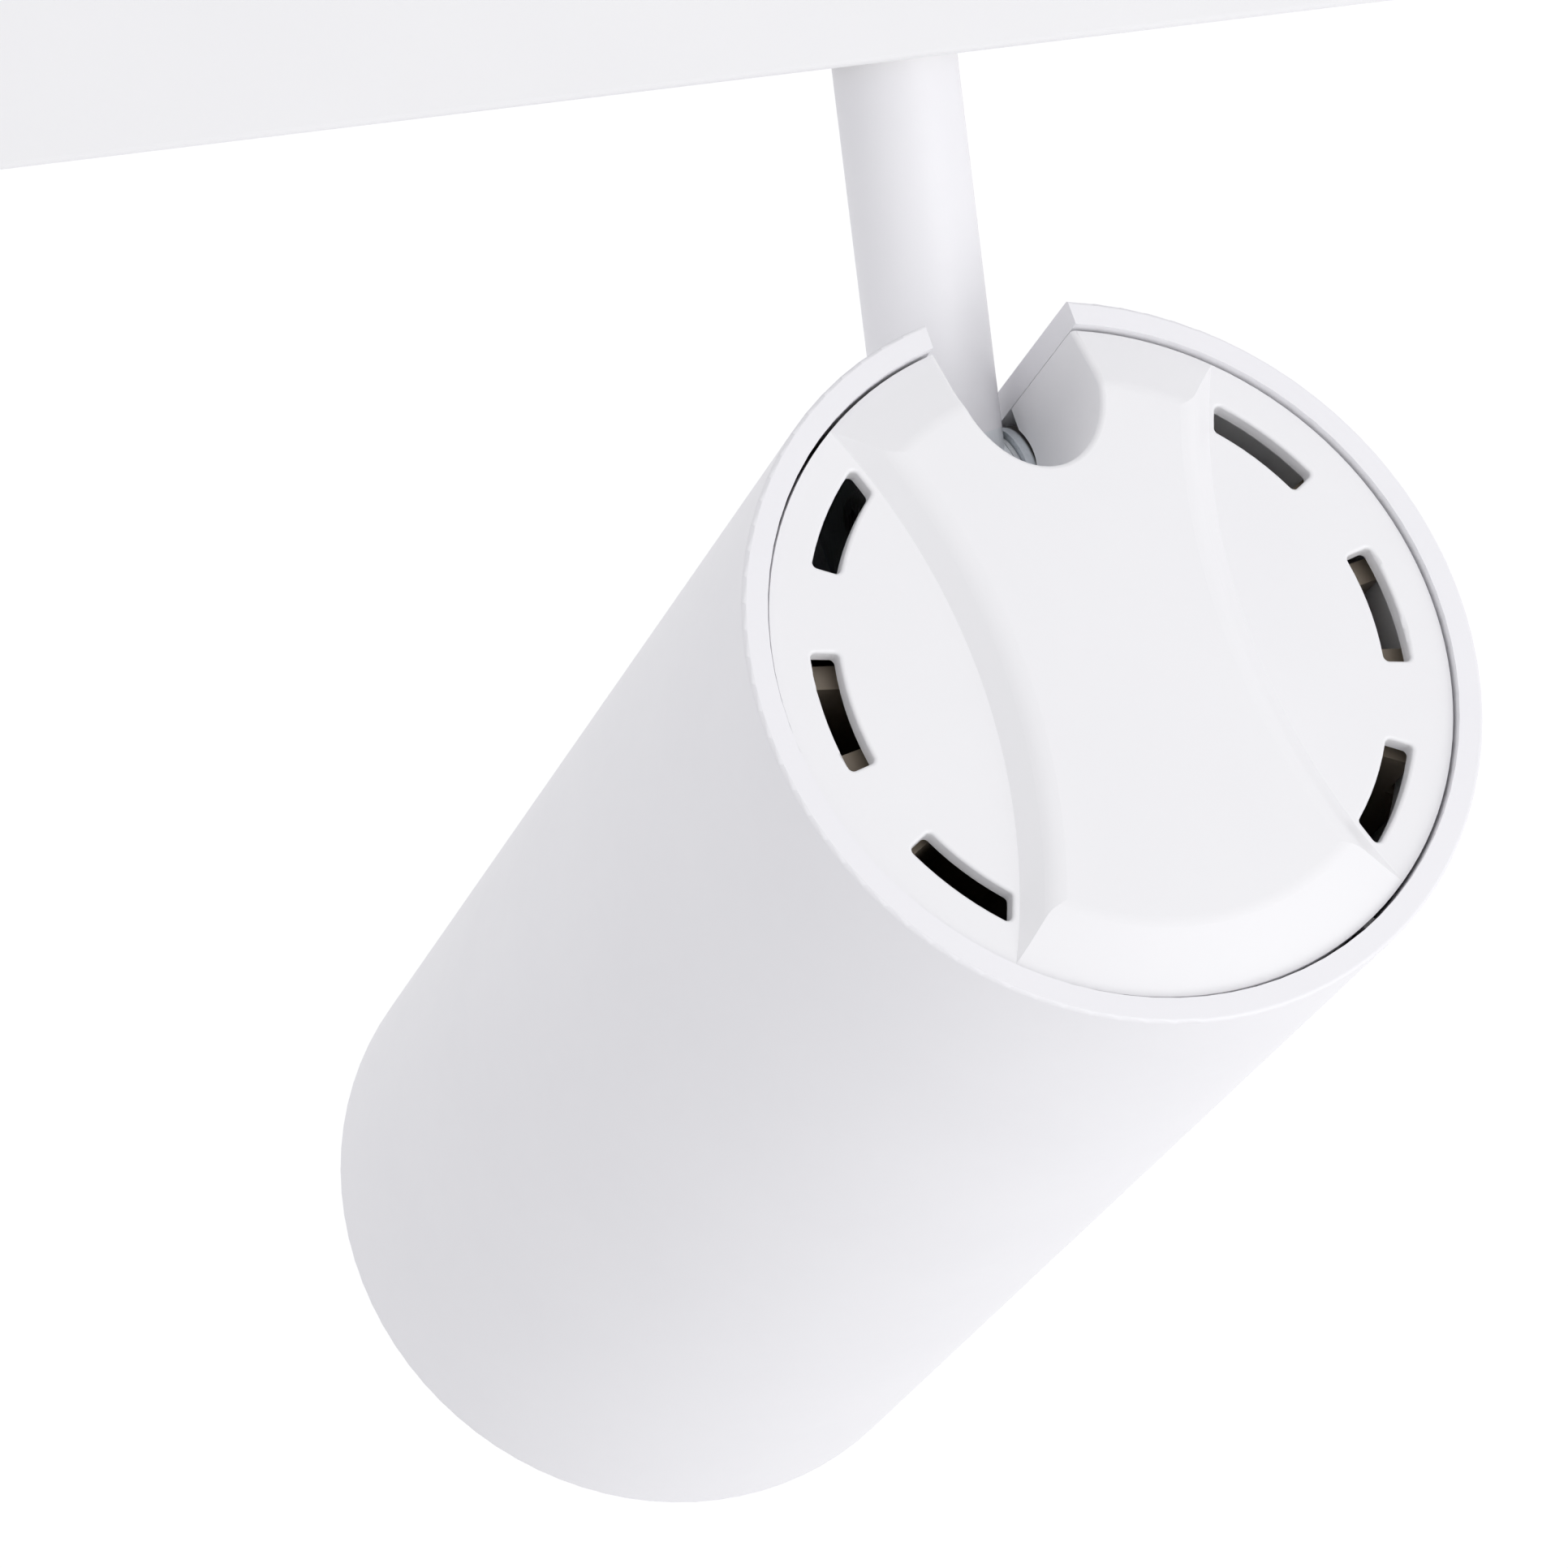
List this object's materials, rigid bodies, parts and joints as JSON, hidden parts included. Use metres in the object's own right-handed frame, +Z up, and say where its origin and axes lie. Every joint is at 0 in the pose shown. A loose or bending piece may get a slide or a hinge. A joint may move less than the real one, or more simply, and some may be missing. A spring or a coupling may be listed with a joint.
{
  "type": "magnetic track spotlight",
  "caption": "Cylindrical spotlight head hinged through a slot in its vented back rim on a turning stem under a flat magnetic track adapter with sprung contacts.",
  "frame": {"origin": "centre of the adapter's top face, on the stem's axis", "axes": "+X along the adapter, +Z up out of the face that clings to the track, -Y the side from which the head's back is seen"},
  "size_m": [0.16, 0.1343, 0.1603],
  "materials": {
    "white_coat": "matte",
    "white_steel": "satin",
    "white_plastic": "matte",
    "black_plastic": "matte",
    "black_baffle": "matte",
    "magnet_nickel": "satin",
    "zinc_steel": "satin",
    "spring_steel": "satin",
    "contact_brass": "polished",
    "nut_brass": "satin",
    "board_green": "satin",
    "ferrite": "matte",
    "capacitor_sleeve": "satin",
    "terminal_plastic": "matte",
    "bushing_plastic": "satin",
    "lead_insulation": "satin",
    "black_aluminium": "satin",
    "led_board_white": "satin",
    "phosphor": "satin",
    "holder_plastic": "matte",
    "reflector_metal": "polished",
    "gasket_silicone": "matte",
    "clear_glass": "polished"
  },
  "bodies": {
    "adapter": {"adapter_housing": "white_plastic", "end_cap_left": "white_plastic", "end_cap_right": "white_plastic", "adapter_cover": "black_plastic", "magnets": "magnet_nickel", "magnet_keepers": "spring_steel", "contact_block": "terminal_plastic", "contact_base": "black_plastic", "driver_board": "board_green", "board_screws": "spring_steel", "driver_inductor": "ferrite", "driver_capacitors": "capacitor_sleeve", "driver_chip": "black_plastic", "driver_terminals": "terminal_plastic", "stem_bushing": "bushing_plastic", "driver_leads": "lead_insulation", "contact_leads": "lead_insulation", "contact_spring_1": "spring_steel", "contact_spring_2": "spring_steel", "contact_spring_3": "spring_steel", "contact_spring_4": "spring_steel"},
    "stem": {"stem_tube": "white_steel", "stem_knuckle": "zinc_steel", "stem_leads": "lead_insulation", "stop_washer": "spring_steel", "spring_washer": "spring_steel", "stem_nut": "nut_brass"},
    "head": {"head_tube": "white_coat", "rear_cap": "white_plastic", "heat_sink": "black_aluminium", "pivot_bracket": "zinc_steel", "bracket_screws": "spring_steel", "pivot_screw": "spring_steel", "pivot_nut": "spring_steel", "friction_washers": "black_plastic", "led_board": "led_board_white", "led_emitter": "phosphor", "led_holder": "holder_plastic", "holder_screws": "spring_steel", "head_leads": "lead_insulation", "reflector": "reflector_metal", "glass_gasket": "gasket_silicone", "front_glass": "clear_glass", "anti_glare_ring": "black_baffle"},
    "contact_1": {"contact_pin_1": "contact_brass"},
    "contact_2": {"contact_pin_2": "contact_brass"},
    "contact_3": {"contact_pin_3": "contact_brass"},
    "contact_4": {"contact_pin_4": "contact_brass"}
  },
  "joints": [
    {"name": "pan", "type": "hinge", "parent": "adapter", "child": "stem", "pos_m": [0, 0, -0.0265], "axis": [0, 0, 1], "range_deg": [-195.6, 138.4]},
    {"name": "tilt", "type": "hinge", "parent": "stem", "child": "head", "pos_m": [0, 0, -0.0622], "axis": [0.878, 0.4787, 0], "range_deg": [-61, 28.8]},
    {"name": "contact_press_1", "type": "slide", "parent": "adapter", "child": "contact_1", "axis": [0, 0, 1], "range_m": [-0.0015, 0], "stiffness_N_per_m": 400, "springref_m": 0.001, "deforming": ["contact_spring_1"]},
    {"name": "contact_press_2", "type": "slide", "parent": "adapter", "child": "contact_2", "axis": [0, 0, 1], "range_m": [-0.0015, 0], "stiffness_N_per_m": 400, "springref_m": 0.001, "deforming": ["contact_spring_2"]},
    {"name": "contact_press_3", "type": "slide", "parent": "adapter", "child": "contact_3", "axis": [0, 0, 1], "range_m": [-0.0015, 0], "stiffness_N_per_m": 400, "springref_m": 0.001, "deforming": ["contact_spring_3"]},
    {"name": "contact_press_4", "type": "slide", "parent": "adapter", "child": "contact_4", "axis": [0, 0, 1], "range_m": [-0.0015, 0], "stiffness_N_per_m": 400, "springref_m": 0.001, "deforming": ["contact_spring_4"]}
  ]
}
